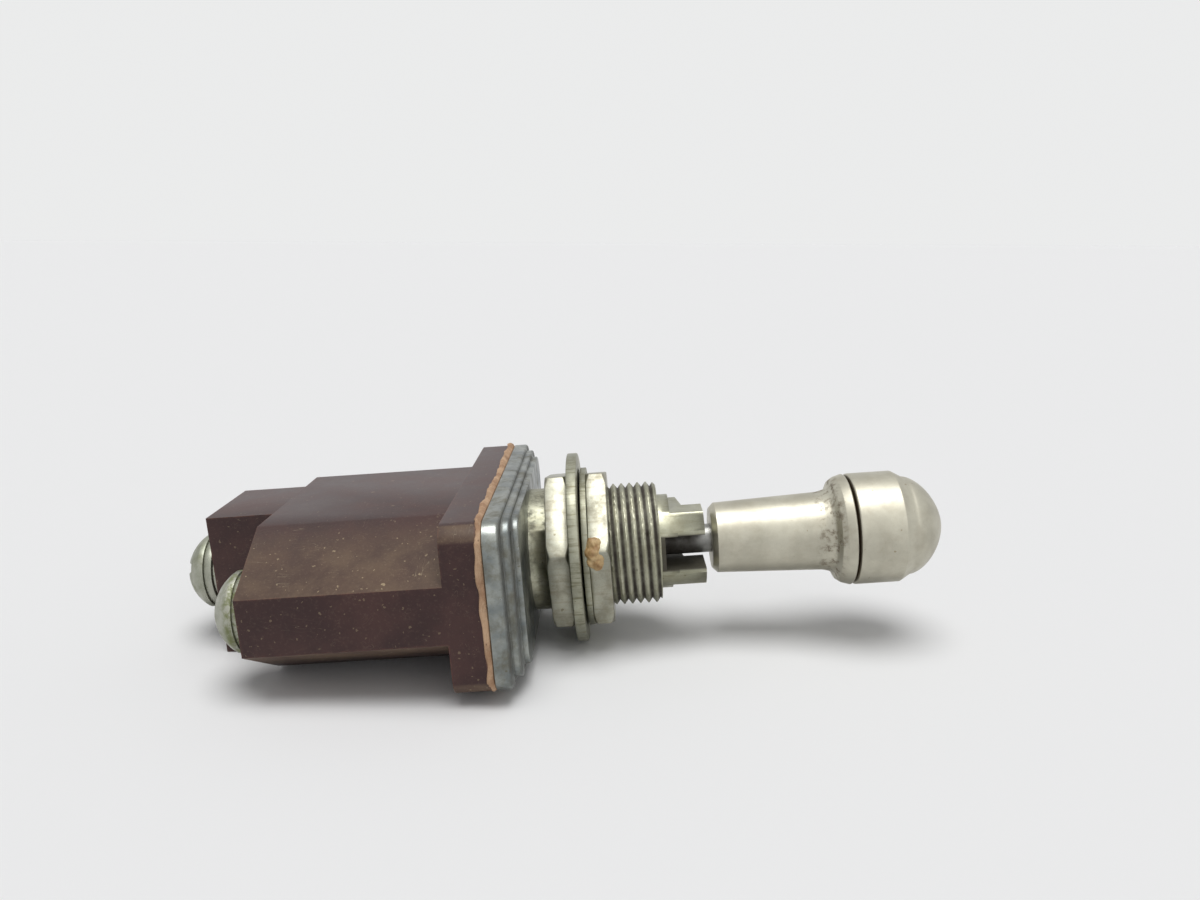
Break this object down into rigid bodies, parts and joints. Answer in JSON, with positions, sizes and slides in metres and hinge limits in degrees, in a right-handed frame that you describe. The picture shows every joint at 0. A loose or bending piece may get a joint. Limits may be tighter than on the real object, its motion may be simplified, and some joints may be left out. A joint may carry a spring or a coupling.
{
  "type": "panel toggle switch",
  "caption": "Sealed panel toggle switch: moulded case with screw terminals, steel cover, threaded bushing with nuts and locking ring, gate posts and a spring-loaded pull lever.",
  "frame": {"origin": "on the bushing's axis, at the front face of the cover", "axes": "+X along the bushing towards the lever tip, +Y along the long side of the case and in the plane of the lever's swing, +Z across the short side of the case; the switch lies on one broad side"},
  "size_m": [0.0743, 0.0332, 0.0186],
  "materials": {
    "phenolic": "moulded, matte, fine light specks and worn edges",
    "gasket": "soft, peach coloured, slightly squeezed out",
    "drawn_steel": "drawn sheet, stained and dulled",
    "plated_bushing": "turned, dull nickel plate",
    "plated_nuts": "satin nickel plate",
    "plated_washers": "stamped, dull nickel plate",
    "lever_steel": "ground",
    "handle_metal": "bead-blasted nickel plate with brown stains",
    "spring_steel": "bright wire",
    "brass": "turned",
    "copper": "stamped copper alloy",
    "screw_metal": "nickel plate, slightly yellowed",
    "black_rubber": "moulded"
  },
  "bodies": {
    "housing": {"case": "phenolic", "case_gasket": "gasket", "cover": "drawn_steel", "bushing": "plated_bushing", "rear_nut": "plated_nuts", "locking_ring": "plated_washers", "lock_washer": "plated_washers", "front_nut": "plated_nuts", "pivot_pin": "spring_steel", "lever_seal": "black_rubber", "rocker_pin": "spring_steel", "centre_terminal": "brass", "near_terminal": "brass", "far_terminal": "brass", "centre_screw": "screw_metal", "near_screw": "screw_metal", "far_screw": "screw_metal", "terminal_washers": "screw_metal"},
    "lever": {"lever": "lever_steel", "spring_nut": "lever_steel", "plunger_spring": "spring_steel", "handle_spring": "spring_steel"},
    "plunger": {"plunger": "brass"},
    "handle": {"handle_sleeve": "handle_metal", "handle_knob": "handle_metal"},
    "rocker": {"rocker": "copper"}
  },
  "joints": [
    {"name": "lever_swing", "type": "hinge", "parent": "housing", "child": "lever", "pos_m": [0.0072, 0, 0], "axis": [0, 0, 1], "range_deg": [-16, 16]},
    {"name": "handle_pull", "type": "slide", "parent": "lever", "child": "handle", "axis": [1, 0, 0], "range_m": [0, 0.0026], "stiffness_N_per_m": 600, "springref_m": -0.002, "deforming": ["handle_spring"]},
    {"name": "plunger_slide", "type": "slide", "parent": "lever", "child": "plunger", "axis": [1, 0, 0], "range_m": [0, 0.001], "stiffness_N_per_m": 300, "springref_m": -0.002, "deforming": ["plunger_spring"]},
    {"name": "rocker_tip", "type": "hinge", "parent": "housing", "child": "rocker", "pos_m": [-0.0133, 0, 0], "axis": [0, 0, 1], "range_deg": [-10, 10]}
  ],
  "couplings": [
    {"joint": "rocker_tip", "follows": "lever_swing", "ratio": -0.625}
  ]
}
